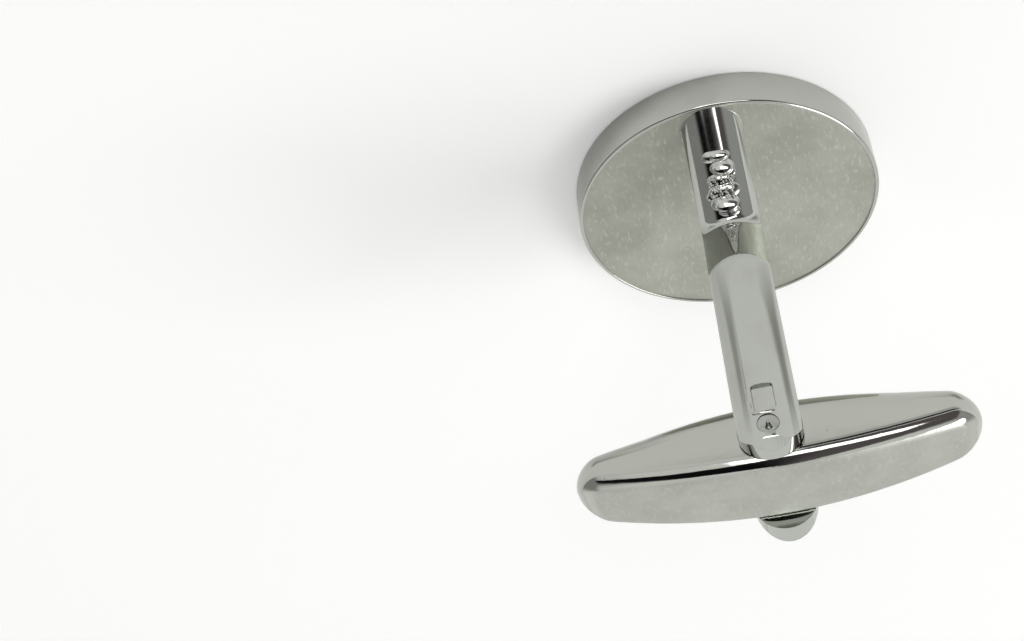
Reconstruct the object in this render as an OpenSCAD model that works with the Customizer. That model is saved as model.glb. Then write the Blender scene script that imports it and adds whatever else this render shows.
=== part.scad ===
// Round cufflink with a two-armed post and a swivelling bar.
// The head lies face down on the XY plane, the post stands up along +Z,
// the bar points along X and turns about a pin that lies along Y.

/* [Head] */
// Diameter of the round head
head_d = 16; // [12:0.5:20]
// Thickness of the head from its front to its rear lip
head_t = 2.1; // [1.6:0.1:3]
// Radius of the rolled edges of the rim
rim_round = 0.16; // [0.08:0.02:0.3]
// Width of the raised lip round the satin back wall
lip_w = 0.34; // [0.2:0.02:0.6]
// Height of the lip above the back wall
lip_h = 0.08; // [0.04:0.01:0.15]
// Width of the metal border round the front plate
border_w = 0.6; // [0.4:0.1:1.2]
// Depth of the tray that holds the front plate
tray_depth = 1; // [0.5:0.1:1.2]
// Bevel round the front plate
inlay_bevel = 0.12; // [0.05:0.01:0.2]

/* [Post] */
// Width of the half-round strips that make the leg and the arms
strip_w = 3; // [2.4:0.1:3.4]
// Thickness of a strip at its crown
strip_t = 1.3; // [1:0.05:1.6]
// Height of a strip's straight flank
flank_h = 0.45; // [0.3:0.05:0.7]
// Distance from the head's edge to the leg's front crown
foot_inset = 0.2; // [0.1:0.05:0.6]
// Lean of the leg towards the middle of the head
leg_lean = 40; // [30:1:45]
// Length of the leg along its middle, up to where the strips part
leg_len = 4; // [3.4:0.1:4.6]
// Outward lean of the near arm above the leg
near_flare = 15; // [10:1:20]
// Bend radius of the near strip above the leg
near_valley_r = 2.6; // [2.2:0.1:3]
// Bend radius of the near strip where the arm turns upright
near_crease_r = 1; // [0.6:0.1:1.6]
// Lean of the far arm above the leg
far_lean = 46; // [44:1:52]
// Bend radius of the far strip above the leg
far_valley_r = 3; // [2:0.5:4]
// Bend radius of the far strip where the arm turns upright
far_crease_r = 2.5; // [1.8:0.1:3]

/* [Pivot] */
// Distance of the pin's middle from the head's middle, towards the foot
pin_offset = 1; // [0.5:0.1:1.5]
// Height of the pin above the head's front
pin_z = 19.1; // [18:0.1:21]
// Radius of the pin
pin_r = 0.5; // [0.35:0.05:0.65]
// Radial clearance of the pin in the bar
pin_clear = 0.04; // [0.01:0.01:0.1]
// Gap between the bar and each arm
side_gap = 0.1; // [0.06:0.02:0.2]
// How far the pin's ends lie below the crowns of the arms
pin_sink = 0.06; // [0.02:0.02:0.12]
// Radius of the punch mark in each end of the pin
punch_r = 0.2; // [0.1:0.05:0.3]
// Depth of the punch mark
punch_depth = 0.18; // [0.1:0.02:0.3]
// How far the punch mark is off the pin's middle, towards the arm's end
punch_rise = 0.22; // [0:0.02:0.25]
// Distance of the middle of the dents below the pin
dent_drop = 1.55; // [1.45:0.05:1.8]
// Width of the dents
dent_w = 1.2; // [0.9:0.05:1.3]
// Height of the dents
dent_h = 1.45; // [1.2:0.05:1.5]
// Depth of the dents under the crown
dent_depth = 0.24; // [0.16:0.02:0.36]
// How far the metal under a dent stands out of the arm's flat side
bump_h = 0.06; // [0.02:0.01:0.08]
// Radius of the bump that stands out there
bump_r = 0.36; // [0.3:0.02:0.45]
// Height of the near arm's end above the pin
near_end_rise = 1.12; // [1:0.02:1.4]
// Height of the far arm's end above the pin
far_end_rise = 1.76; // [1:0.02:2.2]
// Radius of the arms' round ends
end_r = 1.54; // [1.52:0.02:1.8]
// Height above the pin of the ledge where the near arm's crown turns down to its end
ledge_z = 0.72; // [0.6:0.02:0.8]
// How far the crown falls from the ledge to the end
ledge_fall = 0.72; // [0.5:0.02:0.8]

/* [Bar] */
// Length of the swivelling bar
bar_len = 19; // [17:0.2:19.6]
// Width of the bar at its middle, along the pin
bar_w = 5; // [4.4:0.1:5.4]
// Height of the bar at its middle
bar_h = 3.9; // [3.4:0.1:4.4]
// How far the bar's mid-plane lies below the pin
bar_drop = 0.6; // [0:0.05:0.9]
// Width of the bar's blunt ends before they are rounded
bar_end_w = 3.5; // [3:0.1:4]
// Height of the bar's blunt ends before they are rounded
bar_end_h = 1.5; // [1.2:0.1:2]
// Length over which each end is rounded off
bar_nose = 1.3; // [0.9:0.1:1.8]
// Radius of the bar's long edges
bar_edge_r = 0.8; // [0.5:0.05:0.9]

/* [Solder] */
// How far the round solder pool reaches past the leg's mean half width
pool_reach = 0.3; // [0.2:0.05:0.6]
// Thickness of the solder pool
pool_h = 0.2; // [0.1:0.05:0.3]
// Thickness of the rough solder on the neck at its border
bead_edge = 0.1; // [0.06:0.01:0.16]
// How far the lumps of solder stand out above that
bead_proud = 0.16; // [0.08:0.02:0.24]

/* [Hidden] */
$fn = 96;

// One overrun for every cut, and the slip fit of pieces that are put together
cut = 0.5;
slip = 0.02;

head_r = head_d / 2;
back_z = head_t - lip_h;
tray_r = head_r - border_w;
fork_y = -pin_offset;
pin_at = [0, fork_y, pin_z];

// The strips' flat sides face each other across the bar
arm_gap = bar_w + 2 * side_gap;
half_strip = strip_w / 2;
crown_rise = strip_t - flank_h;
crown_r = (half_strip * half_strip + crown_rise * crown_rise) / (2 * crown_rise);

// Half the depth of the leg where it meets the back wall, and the place of its middle plane there
foot_half = strip_t / cos(leg_lean);
leg_y = -(head_r - foot_inset) + foot_half;
// Where the rough solder starts on the leg, from the back wall up
neck_from_share = 0.5;
// The leg starts below the back wall, where it is cut off flush
leg_sink = strip_t * tan(leg_lean) + cut;

// A path is a list of [length, 0] for a straight and [radius, turn] for a bend.
// A heading is the lean from upright towards +Y, and a turn adds to it.
function heading(path, i, lean) = i == 0 ? lean : heading(path, i - 1, lean) + path[i - 1][1];
function leap(size, turn, lean) =
    turn == 0 ? size * [sin(lean), cos(lean)]
              : sign(turn) * size * [cos(lean) - cos(lean + turn), sin(lean + turn) - sin(lean)];
function place(path, i, start, lean) =
    i == 0 ? start
           : place(path, i - 1, start, lean)
             + leap(path[i - 1][0], path[i - 1][1], heading(path, i - 1, lean));

leg_dir = [sin(leg_lean), cos(leg_lean)];
leg_start = [leg_y, back_z] - leg_sink * leg_dir;
knuckle = [leg_y, back_z] + leg_len * leg_dir;

// Near strip: leg, bend outwards, short flare, bend upright, arm
near_y = fork_y - arm_gap / 2;
near_bend_end = knuckle + leap(near_valley_r, -(leg_lean + near_flare), leg_lean);
near_flare_len = (near_bend_end.x - near_y - near_crease_r * (1 - cos(near_flare))) / sin(near_flare);
near_arm_z = near_bend_end.y + near_flare_len * cos(near_flare) + near_crease_r * sin(near_flare);
near_path = [
    [leg_sink + leg_len, 0],
    [near_valley_r, -(leg_lean + near_flare)],
    [near_flare_len, 0],
    [near_crease_r, near_flare],
    [pin_z + near_end_rise + cut - near_arm_z, 0],
];

// Far strip: leg, bend inwards, slope, bend upright, arm
far_y = fork_y + arm_gap / 2;
far_bend_end = knuckle + leap(far_valley_r, far_lean - leg_lean, leg_lean);
far_slope_len = (far_y - far_bend_end.x - far_crease_r * (1 - cos(far_lean))) / sin(far_lean);
far_arm_z = far_bend_end.y + far_slope_len * cos(far_lean) + far_crease_r * sin(far_lean);
far_path = [
    [leg_sink + leg_len, 0],
    [far_valley_r, far_lean - leg_lean],
    [far_slope_len, 0],
    [far_crease_r, -far_lean],
    [pin_z + far_end_rise + cut - far_arm_z, 0],
];

// Stations [y, z, heading] along a path: where each part starts, each few degrees of a bend, at the end
bend_step = 4;
near_bend_step = (leg_lean + near_flare) / ceil((leg_lean + near_flare) / bend_step);
function stations(path, i = 0) =
    let (from = place(path, i, leg_start, leg_lean), lean = heading(path, i, leg_lean))
    i == len(path) ? [[from.x, from.y, lean]] :
    let (turn = path[i][1], steps = turn == 0 ? 1 : ceil(abs(turn) / bend_step))
    concat(
        [for (k = [0:steps - 1])
            let (part = turn * k / steps, p = from + (k == 0 ? [0, 0] : leap(path[i][0], part, lean)))
            [p.x, p.y, lean + part]],
        stations(path, i + 1)
    );

// Height of a strip's crown above its flat side, at a distance from its middle
function crown_at(across) = strip_t - crown_r + sqrt(crown_r * crown_r - across * across);

// Half-round section: points [across, out] over the crown, and the whole ring with the flat side first
crown_steps = 14;
crown_points = [for (k = [0:crown_steps])
    let (across = half_strip * cos(180 * k / crown_steps))
    [across, crown_at(across)]];
strip_ring = concat([[-half_strip, 0], [half_strip, 0]], crown_points);

// A ring put on a station; crown is 1 for a crown towards +Y and -1 towards -Y
function put_ring(ring, station, crown) =
    [for (p = ring) [
        crown * p.x,
        station.x + crown * p.y * cos(station.z),
        station.y - crown * p.y * sin(station.z),
    ]];

// One polygon that closes a round ring, or quads that close a thin crescent, whose points run out and back
function end_cap(n, crescent) =
    crescent ? [for (k = [0:n / 2 - 2]) [k, k + 1, n - 2 - k, n - 1 - k]] : [[for (k = [0:n - 1]) k]];

// Solid through a list of rings of equal length, each anticlockwise seen from the end that it leads to
module loft(rings, crescent = false) {
    n = len(rings[0]);
    last = len(rings) - 1;
    walls = [for (i = [0:last - 1]) for (k = [0:n - 1])
        let (a = i * n + k, b = i * n + (k + 1) % n)
        for (face = [[a, a + n, b + n], [a, b + n, b]]) face];
    first_cap = end_cap(n, crescent);
    last_cap = [for (face = first_cap) [for (k = [len(face) - 1:-1:0]) last * n + face[k]]];
    polyhedron([for (ring = rings) for (p = ring) p], concat(walls, first_cap, last_cap));
}

// A strip's whole sweep, from under the back wall to past the end of its arm
module sweep(path, crown) {
    loft([for (s = stations(path)) put_ring(strip_ring, s, crown)]);
}

// Puts a shape on an arm: its origin is on the flat side where the pin passes, and +Y points out of the crown
module on_arm(y, crown) {
    translate([0, y, pin_z]) mirror([0, crown < 0 ? 1 : 0, 0]) children();
}

// The punched dent in an arm's crown
module dent() {
    translate([-dent_w / 2, strip_t - dent_depth, -dent_drop - dent_h / 2])
        cube([dent_w, dent_depth + cut, dent_h]);
}

// The low bump that the dent raises on the arm's flat side
module bump() {
    bump_sphere_r = (bump_r * bump_r + bump_h * bump_h) / (2 * bump_h);
    translate([0, 0, -dent_drop]) intersection() {
        translate([0, bump_sphere_r - bump_h, 0]) sphere(bump_sphere_r);
        translate([0, flank_h, 0]) rotate([90, 0, 0]) cylinder(r = bump_r, h = flank_h + cut);
    }
}

// All that is taken off round an end at this height above the pin
module end_waste(rise) {
    difference() {
        translate([-half_strip - cut, -cut, rise - end_r])
            cube([strip_w + 2 * cut, strip_t + 2 * cut, end_r + 2 * cut]);
        translate([0, strip_t + 2 * cut, rise - end_r])
            rotate([90, 0, 0]) cylinder(r = end_r, h = strip_t + 4 * cut);
    }
}

// What is filed off the near arm's crown, from the ledge to the end
module ledge_waste() {
    top = near_end_rise + 2 * cut;
    fall_slope = ledge_fall / (near_end_rise - ledge_z);
    rotate([90, 0, 90]) translate([0, 0, -half_strip - cut]) linear_extrude(strip_w + 2 * cut)
        polygon([
            [strip_t, ledge_z],
            [strip_t + cut, ledge_z],
            [strip_t + cut, top],
            [strip_t - (top - ledge_z) * fall_slope, top],
        ]);
}

// One whole strip, cut flush on the back wall, with its rounded end, dent, bump, pin hole and any waste more
module arm_strip(path, y, crown, rise) {
    difference() {
        union() {
            sweep(path, crown);
            on_arm(y, crown) bump();
        }
        translate([0, 0, back_z - head_t]) cylinder(r = head_d, h = head_t);
        on_arm(y, crown) {
            end_waste(rise);
            dent();
            translate([0, strip_t + cut, 0]) rotate([90, 0, 0]) cylinder(r = pin_r, h = strip_t + 2 * cut);
            children();
        }
    }
}

module near_strip() {
    color("silver") arm_strip(near_path, near_y, -1, near_end_rise) ledge_waste();
}

module far_strip() {
    color("silver") arm_strip(far_path, far_y, 1, far_end_rise);
}

module head_cup() {
    color("silver") difference() {
        rotate_extrude() {
            translate([0, rim_round]) square([head_r, head_t - 2 * rim_round]);
            square([head_r - rim_round, head_t]);
            for (z = [rim_round, head_t - rim_round])
                translate([head_r - rim_round, z]) circle(rim_round);
        }
        translate([0, 0, back_z]) cylinder(r = head_r - lip_w, h = cut);
        translate([0, 0, -cut]) cylinder(r = tray_r, h = tray_depth + cut);
    }
}

module front_inlay() {
    color("lightgray") rotate_extrude()
        polygon([
            [0, 0],
            [tray_r - slip - inlay_bevel, 0],
            [tray_r - slip, inlay_bevel],
            [tray_r - slip, tray_depth],
            [0, tray_depth],
        ]);
}

module pivot_pin() {
    half = arm_gap / 2 + strip_t - pin_sink;
    color("gray") translate(pin_at) rotate([90, 0, 0]) difference() {
        cylinder(r = pin_r, h = 2 * half, center = true);
        for (side = [0, 1])
            mirror([0, 0, side]) translate([0, punch_rise, -half])
                cylinder(r1 = punch_r, r2 = 0, h = punch_depth);
    }
}

// The bar's outline: a lens from the side and from above, with blunt rounded ends and rounded long edges
bar_rings = 36;
bar_first_turn = 2;
bar_corner_steps = 8;
bar_edge_share = 0.95;
function bar_lens(share, mid, end) = (mid + (end - mid) * share * share) / 2;
function bar_cap(x) = sqrt(1 - pow(max(0, abs(x) - (bar_len / 2 - bar_nose)) / bar_nose, 2));
function bar_x(i) = -cos(bar_first_turn + (180 - 2 * bar_first_turn) * i / bar_rings) * bar_len / 2;
function bar_ring(x) =
    let (
        share = abs(x) / (bar_len / 2),
        half_w = bar_lens(share, bar_w, bar_end_w) * bar_cap(x),
        half_h = bar_lens(share, bar_h, bar_end_h) * bar_cap(x),
        r = min(bar_edge_r, bar_edge_share * half_h, bar_edge_share * half_w)
    )
    [for (quarter = [0:3]) for (k = [0:bar_corner_steps])
        let (
            a = 90 * (quarter + k / bar_corner_steps),
            right = quarter == 0 || quarter == 3 ? 1 : -1,
            up = quarter < 2 ? 1 : -1
        )
        [x, right * (half_w - r) + r * cos(a), up * (half_h - r) + r * sin(a)]];

module toggle() {
    color("silver") translate(pin_at) difference() {
        translate([0, 0, -bar_drop]) loft([for (i = [0:bar_rings]) bar_ring(bar_x(i))]);
        rotate([90, 0, 0]) cylinder(r = pin_r + pin_clear, h = bar_w + 2 * cut, center = true);
    }
}

// The leg's section along its whole length, as a hole for the solder round it
module leg_hole() {
    translate([0, leg_start.x, leg_start.y]) rotate([-leg_lean, 0, 0]) linear_extrude(leg_sink + leg_len)
        for (side = [0, 1])
            mirror([0, side, 0]) intersection() {
                translate([0, strip_t - crown_r]) circle(crown_r);
                translate([-half_strip, 0]) square([strip_w, strip_t]);
            }
}

// Thin round pool of solder on the back wall, past the leg's flanks and crowns alike
module foot_solder() {
    pool_r = (half_strip + foot_half) / 2 + pool_reach;
    color("darkgray") difference() {
        intersection() {
            translate([0, leg_y, back_z]) cylinder(r1 = pool_r, r2 = pool_r - pool_h, h = pool_h);
            translate([0, 0, back_z]) cylinder(r = head_r - lip_w - slip, h = pool_h);
        }
        leg_hole();
    }
}

// Rough solder over the near strip's crown where it leaves the leg: a lumpy skin on the strip's own facets
neck_leg_rings = 6;
neck_bend_rings = 8;
neck_border_share = 0.3;
neck_inset_steps = 2;
lump_waves = [2.5, 1.5];
lump_sway = 50;
function lump(u, v) =
    (1 + sin(360 * lump_waves.x * u + lump_sway * sin(360 * v)) * cos(360 * lump_waves.y * v)) / 2;
function fade(u) = min(1, min(u, 1 - u) / neck_border_share);
neck_leg_len = leg_len * (1 - neck_from_share);
neck_stations = concat(
    [for (i = [0:neck_leg_rings])
        let (spot = knuckle - neck_leg_len * (1 - i / neck_leg_rings) * leg_dir)
        [spot.x, spot.y, leg_lean]],
    [for (i = [1:neck_bend_rings])
        let (turn = -i * near_bend_step, spot = knuckle + leap(near_valley_r, turn, leg_lean))
        [spot.x, spot.y, leg_lean + turn]]
);
function neck_ring(u) =
    let (
        crown = [for (k = [neck_inset_steps:crown_steps - neck_inset_steps]) crown_points[k]],
        last = len(crown) - 1
    )
    concat(
        [for (k = [last:-1:0]) crown[k]],
        [for (k = [0:last])
            crown[k] + [0, bead_edge + bead_proud * lump(u, k / last) * fade(u) * fade(k / last)]]
    );

module neck_solder() {
    last = len(neck_stations) - 1;
    rings = [for (i = [0:last]) put_ring(neck_ring(i / last), neck_stations[i], -1)];
    color("darkgray") loft(rings, crescent = true);
}

head_cup();
front_inlay();
near_strip();
far_strip();
foot_solder();
neck_solder();
pivot_pin();
toggle();
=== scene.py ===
"""Round cufflink with a two-armed post and a swivelling bar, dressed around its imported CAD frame.

Every piece is modelled in millimetres in the frame's own place and is brought to metres when it is
finished. The head lies face down on the floor, the post stands up along +Z, the bar points along X
and turns about the pin that lies along Y.
"""
from __future__ import annotations

import logging
import math
from collections.abc import Callable, Iterable, Sequence
from dataclasses import dataclass, field
from enum import Enum

import bpy
from mathutils import Matrix, Vector

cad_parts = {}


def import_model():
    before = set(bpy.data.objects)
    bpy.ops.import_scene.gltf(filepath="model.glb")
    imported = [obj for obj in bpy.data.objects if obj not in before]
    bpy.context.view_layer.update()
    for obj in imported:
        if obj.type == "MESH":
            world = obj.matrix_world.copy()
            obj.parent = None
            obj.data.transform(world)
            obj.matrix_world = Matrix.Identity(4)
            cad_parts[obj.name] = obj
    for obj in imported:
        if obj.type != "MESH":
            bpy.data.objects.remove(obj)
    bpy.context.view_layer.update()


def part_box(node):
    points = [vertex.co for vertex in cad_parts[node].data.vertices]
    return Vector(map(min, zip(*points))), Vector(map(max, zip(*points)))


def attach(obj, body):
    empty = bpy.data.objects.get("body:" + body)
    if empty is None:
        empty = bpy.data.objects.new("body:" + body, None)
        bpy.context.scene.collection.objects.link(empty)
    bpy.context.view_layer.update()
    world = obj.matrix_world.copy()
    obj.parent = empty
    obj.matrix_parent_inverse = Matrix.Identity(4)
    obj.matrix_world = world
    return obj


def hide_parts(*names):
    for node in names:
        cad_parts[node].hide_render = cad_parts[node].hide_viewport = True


MM = 0.001
NEAR = 1e-3  # millimetres within which a point counts as lying on a plane
ALONG_Y = (math.pi / 2, 0, 0)  # the turn that lays a rod along Y
FACING = 0.9  # least share of a face's normal along the axis that it faces
WAVE_PHASE = 20  # radians that a Wave texture of scale 1 runs through per unit
WHITE = (1.0, 1.0, 1.0)
FLOOR_COLOUR = (0.96, 0.96, 0.955)
FLOOR_LIFT = 0.15  # how much lighter than it is the camera sees the floor
LOG = logging.getLogger("cufflink")

Number = int | float
Values = dict[str | int, object]
Pair = tuple[float, float]
Triple = tuple[float, float, float]
Point = Triple | Vector
Socket = bpy.types.NodeSocket
Material = bpy.types.Material
Test = Callable[[Vector, Vector], bool]


class Body(Enum):
    """The two bodies of the frame."""

    POST = "post"
    TOGGLE = "toggle"


class Slot(Enum):
    """The record's material slots."""

    HEAD = "head_metal"
    FRONT = "front_plate"
    STRIP = "strip_metal"
    SOLDER = "solder"
    PIN = "pin_metal"
    BAR = "bar_metal"


class Cut(Enum):
    """What a tool does to a workpiece."""

    TAKE_OFF = "DIFFERENCE"
    ADD = "UNION"
    KEEP_COMMON = "INTERSECT"


# Shader sums


class Wire:
    """A shader socket that takes part in Python sums."""

    def __init__(self, graph: Graph, socket: Socket) -> None:
        """Wraps an output socket of a graph that gives one number."""
        self.graph = graph
        self.socket = socket

    def _math(self, operation: str, *values: Wire | Number) -> Wire:
        """Adds one Math node and gives its result."""
        made = self.graph.node("ShaderNodeMath", {"operation": operation}, dict(enumerate(values)))
        return Wire(self.graph, made.outputs[0])

    def __add__(self, other: Wire | Number) -> Wire:
        """The sum of both."""
        return self._math("ADD", self, other)

    def __radd__(self, other: Number) -> Wire:
        """The sum of both."""
        return self._math("ADD", other, self)

    def __sub__(self, other: Wire | Number) -> Wire:
        """This less the other."""
        return self._math("SUBTRACT", self, other)

    def __rsub__(self, other: Number) -> Wire:
        """The other less this."""
        return self._math("SUBTRACT", other, self)

    def __mul__(self, other: Wire | Number) -> Wire:
        """The product of both."""
        return self._math("MULTIPLY", self, other)

    def __rmul__(self, other: Number) -> Wire:
        """The product of both."""
        return self._math("MULTIPLY", other, self)

    def __abs__(self) -> Wire:
        """The size of the number."""
        return self._math("ABSOLUTE", self)

    def angle_with(self, other: Wire) -> Wire:
        """The angle, in radians, whose tangent is this over the other."""
        return self._math("ARCTAN2", self, other)

    def arcsine(self) -> Wire:
        """The angle, in radians, whose sine this is."""
        return self._math("ARCSINE", self)

    def smaller(self, other: Wire | Number) -> Wire:
        """The smaller of both."""
        return self._math("MINIMUM", self, other)

    def step(self, low: Number, high: Number) -> Wire:
        """A smooth step.

        Args:
            low: Where it starts to leave 0.
            high: Where it reaches 1. It may be below low, and the step then falls.

        Returns:
            The step, from 0 to 1.
        """
        settings = {"interpolation_type": "SMOOTHSTEP"}
        made = self.graph.node("ShaderNodeMapRange", settings, {0: self, 1: low, 2: high, 3: 0.0, 4: 1.0})
        return Wire(self.graph, made.outputs[0])


class Graph:
    """A node tree that is written in Python expressions."""

    def __init__(self, owner: Material | bpy.types.World) -> None:
        """Empties the owner's node tree and takes it over.

        Args:
            owner: The material or world to write.
        """
        owner.use_nodes = True
        self.tree = owner.node_tree
        self.tree.nodes.clear()

    def node(
        self, kind: str, settings: Values | None = None, sockets: Values | None = None,
    ) -> bpy.types.Node:
        """Adds any node.

        Args:
            kind: The node's type.
            settings: Its settings, which are set before its sockets.
            sockets: Values, wires or sockets for its inputs, by name or number.

        Returns:
            The new node.
        """
        made = self.tree.nodes.new(kind)
        for name, value in (settings or {}).items():
            setattr(made, name, value)
        for name, value in (sockets or {}).items():
            self.feed(made.inputs[name], value)
        return made

    def feed(self, socket: Socket, value: object) -> None:
        """Links a wire or socket to an input, or sets the input's value.

        Args:
            socket: The input.
            value: A wire, an output socket, a number or a colour.
        """
        if isinstance(value, (Wire, Socket)):
            self.tree.links.new(getattr(value, "socket", value), socket)
        elif socket.type == "RGBA" and not isinstance(value, (int, float)):
            socket.default_value = (*value, 1.0)
        else:
            socket.default_value = value

    def place(self, stretch: Triple = (1.0, 1.0, 1.0), turn: Triple = (0.0, 0.0, 0.0)) -> Socket:
        """Object coordinates in millimetres, stretched and turned as asked.

        Args:
            stretch: How fast the pattern runs along each axis.
            turn: The pattern's turn, in radians.

        Returns:
            The coordinates' socket.
        """
        found = self.node("ShaderNodeTexCoord")
        scale = tuple(run / MM for run in stretch)
        sockets = {"Vector": found.outputs["Object"], "Rotation": turn, "Scale": scale}
        return self.node("ShaderNodeMapping", None, sockets).outputs[0]

    def noise(self, place: Socket, size: float, detail: float = 3.0, rough: float = 0.5) -> Wire:
        """Cloudy noise from about 0 to 1, with clouds of a size in millimetres."""
        sockets = {"Vector": place, "Scale": 1 / size, "Detail": detail, "Roughness": rough}
        return Wire(self, self.node("ShaderNodeTexNoise", None, sockets).outputs[0])

    def cells(self, place: Socket, size: float) -> Wire:
        """Distance to the nearest of points scattered size millimetres apart, as a share of size."""
        sockets = {"Vector": place, "Scale": 1 / size}
        return Wire(self, self.node("ShaderNodeTexVoronoi", None, sockets).outputs["Distance"])

    def axis(self, vector: Socket, name: str) -> Wire:
        """The X, Y or Z of a vector."""
        return Wire(self, self.node("ShaderNodeSeparateXYZ", None, {0: vector}).outputs[name])

    def seen_by_camera(self) -> Wire:
        """1 on a ray that comes straight from the camera and 0 on any other."""
        return Wire(self, self.node("ShaderNodeLightPath").outputs["Is Camera Ray"])

    def blend(self, share: Wire, first: Triple | Socket, second: Triple | Socket) -> Socket:
        """The first colour where share is 0 and the second where it is 1."""
        made = self.node("ShaderNodeMix", {"data_type": "RGBA"}, {0: share, 6: first, 7: second})
        return made.outputs[2]

    def bump(self, height: Wire, rise: float, under: Socket | None = None) -> Socket:
        """A relief.

        Args:
            height: The height, from 0 to 1.
            rise: What a height of 1 stands for, in millimetres.
            under: The relief that this one lies on.

        Returns:
            The normal's socket.
        """
        sockets = {"Height": height, "Distance": rise * MM, "Strength": 1.0}
        if under is not None:
            sockets["Normal"] = under
        return self.node("ShaderNodeBump", None, sockets).outputs[0]

    def metal(self, varied: Values) -> None:
        """Ends a material in a metal shader whose other sockets vary over the surface."""
        shader = self.node("ShaderNodeBsdfPrincipled", None, {"Metallic": 1.0, **varied})
        self.node("ShaderNodeOutputMaterial", None, {"Surface": shader.outputs[0]})


# Finishes


@dataclass(frozen=True)
class Finish:
    """What every finish of a metal has."""

    name: str
    colour: Triple
    dull_colour: Triple
    roughness: float

    def material(self) -> Material:
        """Writes the finish as a material.

        Returns:
            The material.
        """
        made = bpy.data.materials.new(self.name)
        self.write(Graph(made))
        return made

    def write(self, graph: Graph) -> None:
        """Fills the material's graph."""
        raise NotImplementedError


@dataclass(frozen=True)
class Polished(Finish):
    """Buffed plating: a mirror with a slight wave, faint smears and fine hairlines."""

    wave: float = 0.006
    wave_size: float = 1.6
    hairline: float = 0.0004
    smear: float = 0.05

    def write(self, graph: Graph) -> None:
        """Fills the material's graph."""
        place = graph.place()
        smears = graph.noise(place, 2.4, 4.0, 0.6).step(0.42, 0.72)
        specks = graph.cells(place, 0.55).step(0.10, 0.02)
        hairs = graph.noise(graph.place((9.0, 0.7, 0.7), (0.3, 0.2, 0.5)), 0.9, 2.0)
        waves = graph.noise(place, self.wave_size, 1.0, 0.4)
        relief = graph.bump(hairs, self.hairline, graph.bump(waves, self.wave))
        graph.metal({
            "Base Color": graph.blend(smears * 0.6 + specks * 0.3, self.colour, self.dull_colour),
            "Roughness": smears * self.smear + specks * 0.1 + self.roughness,
            "Normal": relief,
        })


@dataclass(frozen=True)
class Satin(Finish):
    """Tumbled plating: fine grain, pale flecks along one way and cloudy patches."""

    grain: float = 0.004
    fleck_run: Triple = (2.4, 0.8, 1.0)
    fleck_colour: Triple = (0.62, 0.63, 0.58)

    def write(self, graph: Graph) -> None:
        """Fills the material's graph."""
        place = graph.place()
        clouds = graph.noise(place, 2.8, 5.0, 0.62)
        flecks = graph.noise(graph.place(self.fleck_run), 0.42, 3.0, 0.65).step(0.52, 0.74)
        grains = graph.noise(place, 0.11, 2.0, 0.7)
        pits = graph.cells(place, 0.9).step(0.07, 0.02)
        share = clouds.step(0.3, 0.72) * 0.75 + pits * 0.5
        plain = graph.blend(share, self.colour, self.dull_colour)
        relief = graph.bump(grains * 0.6 + flecks * 0.5 - pits, self.grain)
        graph.metal({
            "Base Color": graph.blend(flecks * 0.6, plain, self.fleck_colour),
            "Roughness": clouds * 0.16 + self.roughness - flecks * 0.1,
            "Normal": relief,
        })


@dataclass(frozen=True)
class FacedBar(Finish):
    """The bar's plating: polished flanks and edges, satin on the broad faces with tiny pits."""

    satin_roughness: float = 0.34
    fleck_colour: Triple = (0.62, 0.63, 0.59)

    def write(self, graph: Graph) -> None:
        """Fills the material's graph."""
        place = graph.place()
        normal = graph.node("ShaderNodeTexCoord").outputs["Normal"]
        broad = abs(graph.axis(normal, "Z")).step(0.84, 0.93)
        clouds = graph.noise(place, 2.2, 4.0, 0.6)
        flecks = graph.noise(graph.place((2.2, 1.0, 1.0)), 0.4, 3.0, 0.6).step(0.5, 0.72)
        pits = graph.cells(place, 1.5).step(0.05, 0.015)
        waves = graph.noise(place, 0.62, 1.0, 0.4)
        grains = graph.noise(place, 0.12, 2.0, 0.7)
        dull = clouds.step(0.32, 0.7) * (broad * 0.6 + 0.15) + pits * 0.8
        bright = graph.blend(dull, self.colour, self.dull_colour)
        relief = graph.bump((grains + flecks) * broad - pits, 0.003, graph.bump(waves, 0.006))
        graph.metal({
            "Base Color": graph.blend(flecks * broad * 0.5, bright, self.fleck_colour),
            "Roughness": broad * self.satin_roughness + clouds * 0.05 + self.roughness,
            "Normal": relief,
        })


@dataclass(frozen=True)
class Solder(Finish):
    """Solder as it flowed: bright, with a dull crust in places."""

    crust_size: float = 0.3
    crust_rise: float = 0.008

    def write(self, graph: Graph) -> None:
        """Fills the material's graph."""
        crust = graph.noise(graph.place(), self.crust_size, 3.0, 0.55)
        dull = 1 - crust.step(0.36, 0.52)
        relief = graph.bump(crust, self.crust_rise)
        graph.metal({
            "Base Color": graph.blend(dull, self.colour, self.dull_colour),
            "Roughness": dull * 0.12 + self.roughness,
            "Normal": relief,
        })


@dataclass(frozen=True)
class Turned(Finish):
    """A plain plate with the fine rings of a lathe, each 2 pi times ring apart."""

    ring: float = 0.05

    def write(self, graph: Graph) -> None:
        """Fills the material's graph."""
        place = graph.place()
        settings = {"wave_type": "RINGS", "rings_direction": "Z", "wave_profile": "SIN"}
        sockets = {"Vector": place, "Scale": 1 / (self.ring * WAVE_PHASE), "Distortion": 0.6, "Detail": 3.0}
        rings = Wire(graph, graph.node("ShaderNodeTexWave", settings, sockets).outputs["Fac"])
        clouds = graph.noise(place, 3.0, 4.0)
        graph.metal({
            "Base Color": graph.blend(clouds * 0.7, self.colour, self.dull_colour),
            "Roughness": clouds * 0.12 + self.roughness,
            "Normal": graph.bump(rings, 0.002),
        })


# Modelling


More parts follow.
